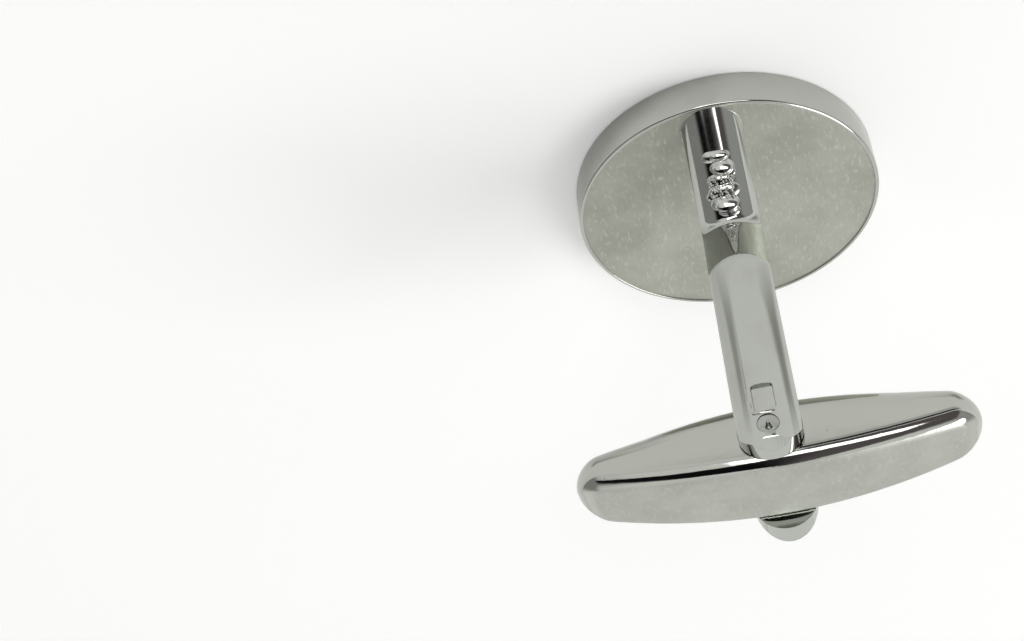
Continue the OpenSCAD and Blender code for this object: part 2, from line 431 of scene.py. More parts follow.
class Workpiece:
    """One solid under the hand tools, in millimetres until it is finished."""

    def __init__(self, name: str) -> None:
        """Takes over the primitive that was added last.

        Args:
            name: The piece's name.
        """
        self.obj = bpy.context.object
        self.obj.name = name
        self.obj.data.name = name
        bpy.ops.object.transform_apply(location=True, rotation=True, scale=True)

    @staticmethod
    def clear_bench() -> None:
        """Deselects all that is there."""
        if bpy.context.object is not None and bpy.context.object.mode != "OBJECT":
            bpy.ops.object.mode_set(mode="OBJECT")
        bpy.ops.object.select_all(action="DESELECT")

    @classmethod
    def disc(cls, name: str, radius: float, middle: Point, turn: Triple, sides: int) -> Workpiece:
        """A flat round face.

        Args:
            name: The piece's name.
            radius: Its radius.
            middle: Its middle.
            turn: Its turn from lying flat, in radians.
            sides: How many sides it has.

        Returns:
            The workpiece.
        """
        cls.clear_bench()
        bpy.ops.mesh.primitive_circle_add(
            vertices=sides, radius=radius, fill_type="NGON", location=middle, rotation=turn)
        return cls(name)

    @classmethod
    def rod(cls, name: str, radius: float, length: float, middle: Point, turn: Triple = (0, 0, 0),
            sides: int = 96, end_radius: float | None = None) -> Workpiece:
        """A round bar or cone.

        Args:
            name: The piece's name.
            radius: Its radius at the lower end.
            length: Its length.
            middle: Its middle.
            turn: Its turn from standing up, in radians.
            sides: How many sides it has.
            end_radius: Its radius at the upper end, where it differs.

        Returns:
            The workpiece.
        """
        cls.clear_bench()
        bpy.ops.mesh.primitive_cone_add(
            vertices=sides, radius1=radius, radius2=radius if end_radius is None else end_radius,
            depth=length, location=middle, rotation=turn)
        return cls(name)

    @classmethod
    def block(cls, name: str, size: Triple, middle: Point) -> Workpiece:
        """A block.

        Args:
            name: The piece's name.
            size: Its size along each axis.
            middle: Its middle.

        Returns:
            The workpiece.
        """
        cls.clear_bench()
        bpy.ops.mesh.primitive_cube_add(size=1, location=middle, scale=size)
        return cls(name)

    @classmethod
    def ball(cls, name: str, radius: float, middle: Point, sides: int = 96, lean: float = 0.0,
             stretch: Triple = (1.0, 1.0, 1.0)) -> Workpiece:
        """A ball, which may be stretched and then leant over.

        Args:
            name: The piece's name.
            radius: Its radius.
            middle: Its middle.
            sides: How many sides it has round its middle.
            lean: Its lean from upright towards +Y, in radians.
            stretch: The factor along each axis before it is leant over.

        Returns:
            The workpiece.
        """
        cls.clear_bench()
        bpy.ops.mesh.primitive_uv_sphere_add(
            segments=sides, ring_count=sides * 2 // 3, radius=radius, location=middle, rotation=(-lean, 0, 0))
        bpy.context.object.scale = stretch
        return cls(name)

    def _take(self) -> None:
        """Makes this the only selected object."""
        self.clear_bench()
        self.obj.select_set(True)
        bpy.context.view_layer.objects.active = self.obj

    def _choose(
        self, kind: str, describe: Callable[..., Sequence[Vector]], test: Callable[..., bool],
    ) -> Workpiece:
        """Opens edit mode with just the elements selected that pass a test.

        Args:
            kind: VERT, EDGE or FACE.
            describe: What the test is told of an element.
            test: Whether an element is chosen.

        Returns:
            This workpiece.
        """
        self._take()
        mesh = self.obj.data
        kinds = {"VERT": mesh.vertices, "EDGE": mesh.edges, "FACE": mesh.polygons}
        chosen = [test(*describe(item)) for item in kinds[kind]]
        for items in kinds.values():
            items.foreach_set("select", [False] * len(items))
        kinds[kind].foreach_set("select", chosen)
        bpy.context.tool_settings.mesh_select_mode = tuple(kind == name for name in kinds)
        bpy.ops.object.mode_set(mode="EDIT")
        return self

    def faces(self, test: Test) -> Workpiece:
        """Selects the faces whose middle and normal pass a test, in edit mode."""
        return self._choose("FACE", lambda face: (face.center, face.normal), test)

    def points(self, test: Callable[[Vector], bool]) -> Workpiece:
        """Selects the points that pass a test, in edit mode."""
        return self._choose("VERT", lambda point: (point.co,), test)

    def edges(self, test: Test) -> Workpiece:
        """Selects the edges whose two ends pass a test, in edit mode."""
        return self._choose("EDGE", lambda edge: [self.obj.data.vertices[i].co for i in edge.vertices], test)

    def all(self) -> Workpiece:
        """Selects all faces in edit mode."""
        return self.faces(lambda middle, normal: True)

    def extrude(self, way: Point) -> None:
        """Draws the selected faces out by a vector."""
        bpy.ops.mesh.extrude_region_move(TRANSFORM_OT_translate={"value": tuple(way)})

    def move(self, way: Point) -> None:
        """Moves what is selected by a vector."""
        bpy.ops.transform.translate(value=tuple(way))

    def resize(self, factors: Triple, centre: Point) -> None:
        """Resizes what is selected by a factor along each axis about a point that stays."""
        bpy.ops.transform.resize(value=factors, center_override=tuple(centre))

    def spin(self, angle: float, centre: Point, steps: int) -> None:
        """Draws the selected faces round an arc in the YZ plane, in radians from +Y towards +Z."""
        bpy.ops.mesh.spin(steps=steps, angle=-angle, center=tuple(centre), axis=(1, 0, 0))

    def inset(self, width: float) -> Workpiece:
        """Sets the selected faces' border in."""
        bpy.ops.mesh.inset(thickness=width)
        return self

    def bevel(self, width: float, segments: int, points: bool = False) -> Workpiece:
        """Rounds the selected edges, or the selected points where points is true."""
        bpy.ops.mesh.bevel(
            offset=width, segments=segments, affect="VERTICES" if points else "EDGES", clamp_overlap=True)
        return self

    def saw(self, point: Point, waste: Point, fill: bool = True) -> None:
        """Cuts the whole piece along a plane.

        Args:
            point: A point of the plane.
            waste: The plane's normal, towards what is taken off.
            fill: Whether the cut is closed.
        """
        self.all()
        bpy.ops.mesh.bisect(
            plane_co=tuple(point), plane_no=tuple(waste), use_fill=fill, clear_outer=True, threshold=1e-5)

    def cut(self, tool: Workpiece, way: Cut) -> None:
        """Works on the piece with a tool, which is used up.

        Args:
            tool: The tool's solid.
            way: What it does.
        """
        self._take()
        made = self.obj.modifiers.new("tool", "BOOLEAN")
        made.operation = way.value
        made.solver = "EXACT"
        made.object = tool.obj
        bpy.ops.object.modifier_apply(modifier=made.name)
        tool.scrap()

    def join(self, others: Sequence[Workpiece]) -> Workpiece:
        """Takes other pieces into this one.

        Args:
            others: The pieces, which are used up.

        Returns:
            This workpiece.
        """
        self._take()
        for other in others:
            other.obj.select_set(True)
        bpy.ops.object.join()
        return self

    def scrap(self) -> None:
        """Takes the piece off the bench."""
        mesh = self.obj.data
        bpy.data.objects.remove(self.obj)
        bpy.data.meshes.remove(mesh)

    def modify(self, kind: str, **settings: object) -> None:
        """Applies a modifier.

        Args:
            kind: The modifier's type.
            settings: Its settings.
        """
        self._take()
        made = self.obj.modifiers.new(kind.lower(), kind)
        for name, value in settings.items():
            setattr(made, name, value)
        bpy.ops.object.modifier_apply(modifier=made.name)

    def ease_edges(self, width: float, above: float = 35.0, segments: int = 3) -> None:
        """Rounds every sharp edge a little.

        Args:
            width: The rounding's width.
            above: The least angle of a sharp edge, in degrees.
            segments: How many segments the rounding has.
        """
        self.modify(
            "BEVEL", width=width, segments=segments, limit_method="ANGLE",
            angle_limit=math.radians(above), use_clamp_overlap=True)

    def clean(self) -> Workpiece:
        """Merges doubled points and turns all faces outwards.

        Returns:
            This workpiece.
        """
        self.all()
        bpy.ops.mesh.remove_doubles(threshold=1e-4)
        bpy.ops.mesh.normals_make_consistent(inside=False)
        return self

    def finish(
        self, body: Body, slot: Slot, replaced: str, *materials: Material, smooth: float = 32.0,
    ) -> None:
        """Brings the piece to metres, shades it and puts it on its body.

        Args:
            body: The body that it rides on.
            slot: The record's slot. It is not used.
            replaced: The CAD node that it stands for.
            materials: Its materials, in the order of its material numbers.
            smooth: The largest angle that is shaded round, in degrees.
        """
        self._take()
        self.obj.scale = (MM, MM, MM)
        bpy.ops.object.transform_apply(location=True, rotation=True, scale=True)
        bpy.ops.object.shade_smooth_by_angle(angle=math.radians(smooth))
        for material in materials:
            self.obj.data.materials.append(material)
        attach(self.obj, body.value)
        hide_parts(replaced)
        LOG.info("%s: %d faces, stands for %s", self.obj.name, len(self.obj.data.polygons), replaced)

    def paint(self, number: int, test: Test) -> None:
        """Gives faces a material number.

        Args:
            number: The material's number on this piece.
            test: Says of a face's middle and normal whether it is painted.
        """
        self.clear_bench()
        for face in self.obj.data.polygons:
            if test(face.center, face.normal):
                face.material_index = number


def box_mm(node: str) -> tuple[Vector, Vector]:
    """A CAD node's lowest and highest corner, in millimetres."""
    low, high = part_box(node)
    return low / MM, high / MM


# Sub-assemblies


@dataclass
class Head:
    """The round head: its cup with a lip round the satin back wall, and the plate in its tray."""

    rim_round: float = 0.14
    lip_w: float = 0.22
    lip_h: float = 0.08
    lip_round: float = 0.05
    border_w: float = 0.6
    tray_depth: float = 1.0
    inlay_bevel: float = 0.12
    sides: int = 256
    radius: float = field(init=False)
    thickness: float = field(init=False)

    def __post_init__(self) -> None:
        """Takes the head's outer size from the frame."""
        corner = box_mm("head_cup")[1]
        self.radius = corner.x
        self.thickness = corner.z

    @property
    def back_z(self) -> float:
        """Height of the back wall."""
        return self.thickness - self.lip_h

    @property
    def wall_r(self) -> float:
        """Radius of the back wall."""
        return self.radius - self.lip_w

    def build(self, rim: Material, wall: Material, plate: Material) -> None:
        """Builds the cup and the plate in their finishes."""
        self._cup().finish(Body.POST, Slot.HEAD, "head_cup", rim, wall)
        self._plate().finish(Body.POST, Slot.FRONT, "front_inlay", plate)

    def _cup(self) -> Workpiece:
        """The cup: a disc whose back is let in behind a lip and whose front is hollowed to a tray.

        Returns:
            The workpiece.
        """
        place = (0, 0, self.thickness / 2)
        cup = Workpiece.rod("head_cup_turned", self.radius, self.thickness, place, sides=self.sides)
        middle = self.thickness / 2
        cup.edges(lambda a, b: (a.z > middle) == (b.z > middle)).bevel(self.rim_round, segments=5)
        cup.faces(lambda m, n: n.z > FACING and abs(m.z - self.thickness) < NEAR)
        cup.inset(self.lip_w - self.rim_round).extrude((0, 0, -self.lip_h))
        cup.faces(lambda m, n: n.z < -FACING and abs(m.z) < NEAR)
        cup.inset(self.border_w - self.rim_round).extrude((0, 0, self.tray_depth))
        cup.edges(lambda a, b: self._on_lip(a) and self._on_lip(b)).bevel(self.lip_round, segments=3)
        cup.paint(1, lambda m, n: n.z > FACING and abs(m.z - self.back_z) < NEAR)
        return cup

    def _on_lip(self, point: Vector) -> bool:
        """Whether a point lies on the lip's inner edge."""
        return abs(point.z - self.thickness) < NEAR and abs(point.xy.length - self.wall_r) < 10 * NEAR

    def _plate(self) -> Workpiece:
        """The plain plate that fills the tray.

        Returns:
            The workpiece.
        """
        radius = box_mm("front_inlay")[1].x
        place = (0, 0, self.tray_depth / 2)
        plate = Workpiece.rod("front_plate_turned", radius, self.tray_depth, place, sides=self.sides)
        plate.edges(lambda a, b: max(a.z, b.z) < self.tray_depth / 2).bevel(self.inlay_bevel, segments=4)
        return plate


@dataclass
class Arm:
    """Where one half-round strip runs: its lean, bends and the side that its crown points to."""

    node: str
    crown: int
    leg_len: float
    first_turn: float
    flat_y: float
    end_rise: float
    has_ledge: bool
    first_radius: float
    second_radius: float


@dataclass
class Post:
    """The forked post: two half-round strips that make the leg and part into the arms."""

    head: Head
    strip_t: float = 1.3
    flank_h: float = 0.45
    foot_inset: float = 0.2
    leg_lean: float = math.radians(40)
    leg_len: float = 4.0
    near_flare: float = math.radians(15)
    knuckle_r: float = 2.6
    crisp_knuckle_r: float = 1.75
    near_upper_r: float = 1.0
    far_lean: float = math.radians(46)
    far_knuckle_r: float = 3.0
    far_upper_r: float = 2.5
    end_r: float = 1.54
    ledge_z: float = 0.72
    ledge_fall: float = 0.72
    ledge_ease: float = 0.03
    ledge_ease_slope: float = 0.45
    dent_w: float = 1.1
    dent_h: float = 1.42
    dent_depth: float = 0.2
    dent_side_run: float = 0.08
    dent_end_run: float = 0.08
    dent_drop: float = 1.46
    burr_r: float = 0.16
    burr_h: float = 0.11
    burr_sink: float = 0.07
    bump_h: float = 0.06
    bump_r: float = 0.36
    overrun: float = 0.5
    section_sides: int = 160
    section_edge_r: float = 0.09
    edge_ease: float = 0.035
    hole_clear: float = 0.012
    punch_corner_r: float = 0.2
    burr_shift: float = 0.1
    bend_step: float = math.radians(3)
    half_w: float = field(init=False)
    crown_r: float = field(init=False)
    pin: Vector = field(init=False)
    pin_r: float = field(init=False)
    near: Arm = field(init=False)
    far: Arm = field(init=False)

    def __post_init__(self) -> None:
        """Takes widths and places from the frame."""
        near_low, near_high = box_mm("near_strip")
        far_high = box_mm("far_strip")[1]
        self.half_w = near_high.x
        rise = self.strip_t - self.flank_h
        self.crown_r = (self.half_w ** 2 + rise ** 2) / (2 * rise)
        pin_low, pin_high = box_mm("pivot_pin")
        self.pin = (pin_low + pin_high) / 2
        self.pin_r = (pin_high.x - pin_low.x) / 2
        far_y = far_high.y - self.strip_t
        near_y = 2 * self.pin.y - far_y
        turn = self.leg_lean + self.near_flare
        near_rise, far_rise = near_high.z - self.pin.z, far_high.z - self.pin.z
        # A crisper bend starts later, so that the arm stays in the frame's line.
        near_leg = self.leg_len + (self.knuckle_r - self.crisp_knuckle_r) * math.tan(turn / 2)
        bend = self.far_lean - self.leg_lean
        self.near = Arm("near_strip", -1, near_leg, -turn, near_y, near_rise, True,
                        self.crisp_knuckle_r, self.near_upper_r)
        self.far = Arm("far_strip", 1, self.leg_len, bend, far_y, far_rise, False,
                       self.far_knuckle_r, self.far_upper_r)

    def crown_at(self, across: float) -> float:
        """Height of the crown above the flat side, at a distance from the strip's middle."""
        return self.strip_t - self.crown_r + math.sqrt(self.crown_r ** 2 - across ** 2)

    @property
    def foot(self) -> Vector:
        """Where the leg's middle plane meets the back wall."""
        y = -(self.head.radius - self.foot_inset) + self.strip_t / math.cos(self.leg_lean)
        return Vector((0, y, self.head.back_z))

    @staticmethod
    def way(lean: float) -> Vector:
        """The unit vector of a path that leans from upright towards +Y, in radians."""
        return Vector((0, math.sin(lean), math.cos(lean)))

    @staticmethod
    def out(lean: float, crown: int) -> Vector:
        """The unit vector of a strip's crown, which is 1 towards +Y and -1 towards -Y."""
        return Vector((0, crown * math.cos(lean), -crown * math.sin(lean)))

    def section(self, name: str, start: Vector, lean: float, crown: int) -> Workpiece:
        """A half-round face, square to the path.

        Args:
            name: The piece's name.
            start: Where the path starts, on the flat side.
            lean: The path's lean there.
            crown: The side that the crown points to.

        Returns:
            The workpiece, with its face selected.
        """
        out = self.out(lean, crown)
        turn = math.pi - lean if crown < 0 else -lean
        middle = start + out * (self.strip_t - self.crown_r)
        piece = Workpiece.disc(name, self.crown_r, middle, (turn, 0, 0), self.section_sides)
        piece.saw(start, -out, fill=False)
        for side in (-1, 1):
            piece.saw((side * self.half_w, 0, 0), (side, 0, 0), fill=False)
        piece.points(lambda p: abs(abs(p.x) - self.half_w) < NEAR)
        return piece.bevel(self.section_edge_r, segments=4, points=True)

    def bend(
        self, piece: Workpiece, at: Vector, lean: float, turn: float, radius: float,
    ) -> tuple[Vector, float]:
        """Draws the selected face round a bend.

        Args:
            piece: The workpiece.
            at: Where the bend starts, on the flat side.
            lean: The lean there.
            turn: The bend, towards +Y where it is positive.
            radius: Its radius at the flat side.

        Returns:
            Where it ends and the lean there.
        """
        sign = math.copysign(1, turn)
        centre = at + sign * radius * Vector((0, math.cos(lean), -math.sin(lean)))
        piece.spin(-turn, centre, max(2, round(abs(turn) / self.bend_step)))
        ahead = lean + turn
        return centre - sign * radius * Vector((0, math.cos(ahead), -math.sin(ahead))), ahead

    def strip(self, arm: Arm) -> Workpiece:
        """One strip: drawn through its bends, cut flush at the foot, rounded, dented and drilled at its end.

        Args:
            arm: Where it runs.

        Returns:
            The workpiece.
        """
        lean = self.leg_lean
        sink = self.strip_t * math.tan(lean) + self.overrun
        at = self.foot - self.way(lean) * sink
        piece = self.section(arm.node + "_drawn", at, lean, arm.crown)
        piece.all().extrude(self.way(lean) * (sink + arm.leg_len))
        at = at + self.way(lean) * (sink + arm.leg_len)
        at, lean = self.bend(piece, at, lean, arm.first_turn, arm.first_radius)
        across = (arm.flat_y - at.y) - math.copysign(1, lean) * arm.second_radius * (1 - math.cos(lean))
        straight = across / math.sin(lean)
        piece.extrude(self.way(lean) * straight)
        at = at + self.way(lean) * straight
        at, lean = self.bend(piece, at, lean, -lean, arm.second_radius)
        piece.extrude((0, 0, self.pin.z + arm.end_rise + self.overrun - at.z))
        piece.clean()
        self._shape_end(piece, arm)
        piece.saw(self.foot, (0, 0, -1))
        piece.ease_edges(self.edge_ease, segments=4)
        return piece.clean()

    def _shape_end(self, piece: Workpiece, arm: Arm) -> None:
        """Rounds the end, bevels its crown from a ledge on, punches the dent and drills the hole.

        Args:
            piece: The strip.
            arm: Where it runs.
        """
        origin = Vector((0, arm.flat_y, self.pin.z))
        out = Vector((0, arm.crown, 0))
        if arm.has_ledge:
            ledge = origin + out * self.strip_t + Vector((0, 0, self.ledge_z))
            facet = out * (arm.end_rise - self.ledge_z) + Vector((0, 0, self.ledge_fall))
            piece.saw(ledge, facet)
            piece.saw(ledge - out * self.ledge_ease, out + Vector((0, 0, self.ledge_ease_slope)))
        middle = origin + Vector((0, 0, arm.end_rise - self.end_r))
        stencil = Workpiece.rod("end_stencil", self.end_r, 6 * self.head.radius, middle, ALONG_Y, sides=160)
        # Its lower half goes down past the foot, so that only the end is rounded.
        stencil.points(lambda p: p.z < middle.z - NEAR).move((0, 0, -2 * self.pin.z))
        piece.cut(stencil, Cut.KEEP_COMMON)
        piece.cut(self._bump(origin, out), Cut.ADD)
        for burr in self._burrs(origin, out):
            piece.cut(burr, Cut.ADD)
        piece.cut(self._punch(origin, out), Cut.TAKE_OFF)
        drill = Workpiece.rod("drill", self.pin_r + self.hole_clear, 2 * self.strip_t + 2 * self.overrun,
                              origin + out * self.strip_t / 2, ALONG_Y, sides=72)
        piece.cut(drill, Cut.TAKE_OFF)

    def _punch(self, origin: Vector, out: Vector) -> Workpiece:
        """The square punch that leaves the dent.

        Args:
            origin: The pin's place on the flat side.
            out: The crown's direction.

        Returns:
            The tool.
        """
        depth = self.dent_depth + self.overrun
        middle = origin + out * (self.strip_t - self.dent_depth + depth / 2) - Vector((0, 0, self.dent_drop))
        floor_w, floor_h = self.dent_w - 2 * self.dent_side_run, self.dent_h - 2 * self.dent_end_run
        growth = 2 * depth / self.dent_depth
        head_w, head_h = floor_w + growth * self.dent_side_run, floor_h + growth * self.dent_end_run
        punch = Workpiece.block("punch", (head_w, depth, head_h), middle)
        floor = middle.y - out.y * depth / 2
        punch.edges(lambda a, b: abs(a.y - b.y) > depth / 2).bevel(self.punch_corner_r, segments=4)
        punch.faces(lambda m, n: abs(m.y - floor) < NEAR)
        punch.resize((floor_w / head_w, 1, floor_h / head_h), middle)
        return punch

    def _burrs(self, origin: Vector, out: Vector) -> Iterable[Workpiece]:
        """The low burrs that the punch throws up above and beside the dent.

        Args:
            origin: The pin's place on the flat side.
            out: The crown's direction.

        Yields:
            Each burr.
        """
        half_w, half_h = self.dent_w / 2, self.dent_h / 2
        spots = (
            (Vector((self.burr_shift, 0, half_h + self.burr_r / 2)), (half_w, self.burr_h, self.burr_r)),
            (Vector((half_w + self.burr_r / 2, 0, 0)), (self.burr_r, self.burr_h, half_h)),
        )
        for shift, size in spots:
            middle = origin + shift - Vector((0, 0, self.dent_drop))
            middle += out * (self.crown_at(shift.x) - self.burr_sink)
            yield Workpiece.ball("burr", 1.0, middle, sides=48, stretch=size)

    def _bump(self, origin: Vector, out: Vector) -> Workpiece:
        """The low bump that the punch raises on the flat side.

        Args:
            origin: The pin's place on the flat side.
            out: The crown's direction.

        Returns:
            The tool.
        """
        radius = (self.bump_r ** 2 + self.bump_h ** 2) / (2 * self.bump_h)
        low = origin - Vector((0, 0, self.dent_drop))
        cap = Workpiece.ball("bump", radius, low + out * (radius - self.bump_h))
        cap.saw(low + out * self.bump_h, out)
        return cap.clean()

    def build(self, metal: Material) -> None:
        """Builds both strips in their finish."""
        for arm in (self.near, self.far):
            self.strip(arm).finish(Body.POST, Slot.STRIP, arm.node, metal, smooth=25)


@dataclass(frozen=True)
class Drop:
    """A flattened drop of solder on the leg's crown."""

    along: float
    across: float
    half_across: float
    half_along: float
    half_height: float
    proud: float
    lean_deg: float = 40.0


@dataclass
class Joints:
    """The solder at the post's foot and neck, and the riveted pin."""

    post: Post
    pool_h: float = 0.1
    pool_share: float = 0.87
    pool_fall: float = 0.14
    pool_gap: float = 0.02
    pool_ease: float = 0.05
    drops: tuple[Drop, ...] = (
        Drop(1.35, 0.06, 0.74, 0.42, 0.22, 0.05),
        Drop(1.95, -0.12, 0.66, 0.5, 0.22, 0.07),
        Drop(2.55, 0.04, 0.72, 0.46, 0.22, 0.05),
        Drop(3.1, -0.04, 0.82, 0.5, 0.24, 0.06),
        Drop(3.7, 0.03, 0.74, 0.5, 0.24, 0.06),
        Drop(4.15, -0.06, 0.6, 0.42, 0.22, 0.05),
        Drop(2.2, -0.6, 0.2, 0.3, 0.14, 0.04),
        Drop(3.3, 0.7, 0.22, 0.24, 0.14, 0.04),
        Drop(1.36, -0.1, 0.48, 0.26, 0.14, 0.13, 30.0),
        Drop(1.98, -0.16, 0.5, 0.38, 0.16, 0.16, 29.0),
        Drop(3.84, -0.04, 0.58, 0.4, 0.16, 0.17, 29.0),
    )
    voxel: float = 0.028
    melting: int = 16
    bead_r: float = 0.062
    bead_growth: float = 0.35
    bead_shift: float = 0.25
    bead_wave: float = 0.3
    bead_squeeze: float = 0.15
    bead_stretch: float = 0.3
    bead_pitch: float = 0.15
    bead_rows: int = 8
    beads_across: int = 8
    beads_from: float = 2.4
    punch_r: float = 0.36
    punch_depth: float = 0.5
    punch_rise: float = 0.16
    punch_stretch: Triple = (0.75, 1, 1.4)
    pin_ease: float = 0.03

    def build(self, solder: Material, foot: Material, pin: Material) -> None:
        """Builds the three pieces.

        Args:
            solder: The neck solder's finish.
            foot: The foot solder's finish.
            pin: The pin's finish.
        """
        self._pool().finish(Body.POST, Slot.SOLDER, "foot_solder", foot, smooth=50)
        self._neck().finish(Body.POST, Slot.SOLDER, "neck_solder", solder, smooth=80)
        self._pin().finish(Body.POST, Slot.PIN, "pivot_pin", pin)

    def _pool(self) -> Workpiece:
        """The thin pool round the leg's foot.

        Returns:
            The workpiece.
        """
        foot = self.post.foot
        radius = box_mm("foot_solder")[1].x * self.pool_share
        middle = foot + Vector((0, 0, self.pool_h / 2))
        pool = Workpiece.rod("foot_solder_flowed", radius, self.pool_h, middle,
                             end_radius=radius - self.pool_fall)
        head = self.post.head
        inside = head.wall_r - self.pool_gap
        fence = Workpiece.rod("fence", inside, 4 * self.pool_h, (0, 0, foot.z), sides=head.sides)
        pool.cut(fence, Cut.KEEP_COMMON)
        pool.ease_edges(self.pool_ease, above=20)
        return pool.clean()

    def _neck(self) -> Workpiece:
        """The rough solder on the near strip's crown: drops melted into one bed, with beads on it.

        Returns:
            The workpiece.
        """
        neck, *others = [self._drop(drop) for drop in self.drops]
        neck.join(others)
        neck.modify("REMESH", mode="VOXEL", voxel_size=self.voxel, use_smooth_shade=True)
        neck.modify("SMOOTH", factor=0.5, iterations=self.melting)
        neck.obj.name = "neck_solder_flowed"
        return neck.join(list(self._beads())).clean()

    def _drop(self, drop: Drop) -> Workpiece:
        """One flattened drop, sunk into the crown.

        Args:
            drop: Its place and size.

        Returns:
            The workpiece.
        """
        post = self.post
        out = post.out(post.leg_lean, post.near.crown)
        middle = post.foot + post.way(post.leg_lean) * drop.along + Vector((drop.across, 0, 0))
        middle += out * (post.crown_at(drop.across) + drop.proud - drop.half_height)
        stretch = (drop.half_across, drop.half_height, drop.half_along)
        return Workpiece.ball("drop", 1.0, middle, 48, math.radians(drop.lean_deg), stretch)

    def _beads(self) -> Iterable[Workpiece]:
        """Small beads in staggered, uneven rows across the crown.

        Yields:
            Each bead.
        """
        post = self.post
        out = post.out(post.leg_lean, post.near.crown)
        for row in range(self.bead_rows):
            for place in range(self.beads_across):
                stray = math.sin(12.9 * row + 78.2 * place)  # uneven, and the same on every run
                across = place - (self.beads_across - 1) / 2 + 0.5 * (row % 2) + self.bead_shift * stray
                across *= self.bead_pitch
                wave = self.bead_wave * math.cos(7.1 * place + row)
                along = self.beads_from + (row + wave) * self.bead_pitch
                radius = self.bead_r * (1 + self.bead_growth * stray)
                middle = post.foot + post.way(post.leg_lean) * along + Vector((across, 0, 0))
                middle += out * (post.crown_at(across) + radius)
                stretch = (1 - self.bead_squeeze * stray, 1.0, 1 + self.bead_stretch * stray)
                yield Workpiece.ball("bead", radius, middle, 18, post.leg_lean, stretch)

    def _pin(self) -> Workpiece:
        """The pin, filed flush at both ends and punched.

        Returns:
            The workpiece.
        """
        low, high = box_mm("pivot_pin")
        middle = self.post.pin
        half = (high.y - low.y) / 2
        pin = Workpiece.rod("pivot_pin_riveted", self.post.pin_r, 2 * half, middle, ALONG_Y)
        for side in (-1, 1):
            end = middle + Vector((0, side * half, self.punch_rise))
            mark = Workpiece.rod("mark", self.punch_r, 2 * self.punch_depth, end, (side * math.pi / 2, 0, 0),
                                 sides=24, end_radius=0.0)
            # The lower half of its mouth is drawn down to a tear.
            mark.points(lambda p, z=end.z: p.z < z - NEAR and math.hypot(p.x, p.z - z) > self.punch_r / 2)
            mark.resize(self.punch_stretch, end)
            pin.cut(mark, Cut.TAKE_OFF)
        pin.ease_edges(self.pin_ease)
        return pin.clean()


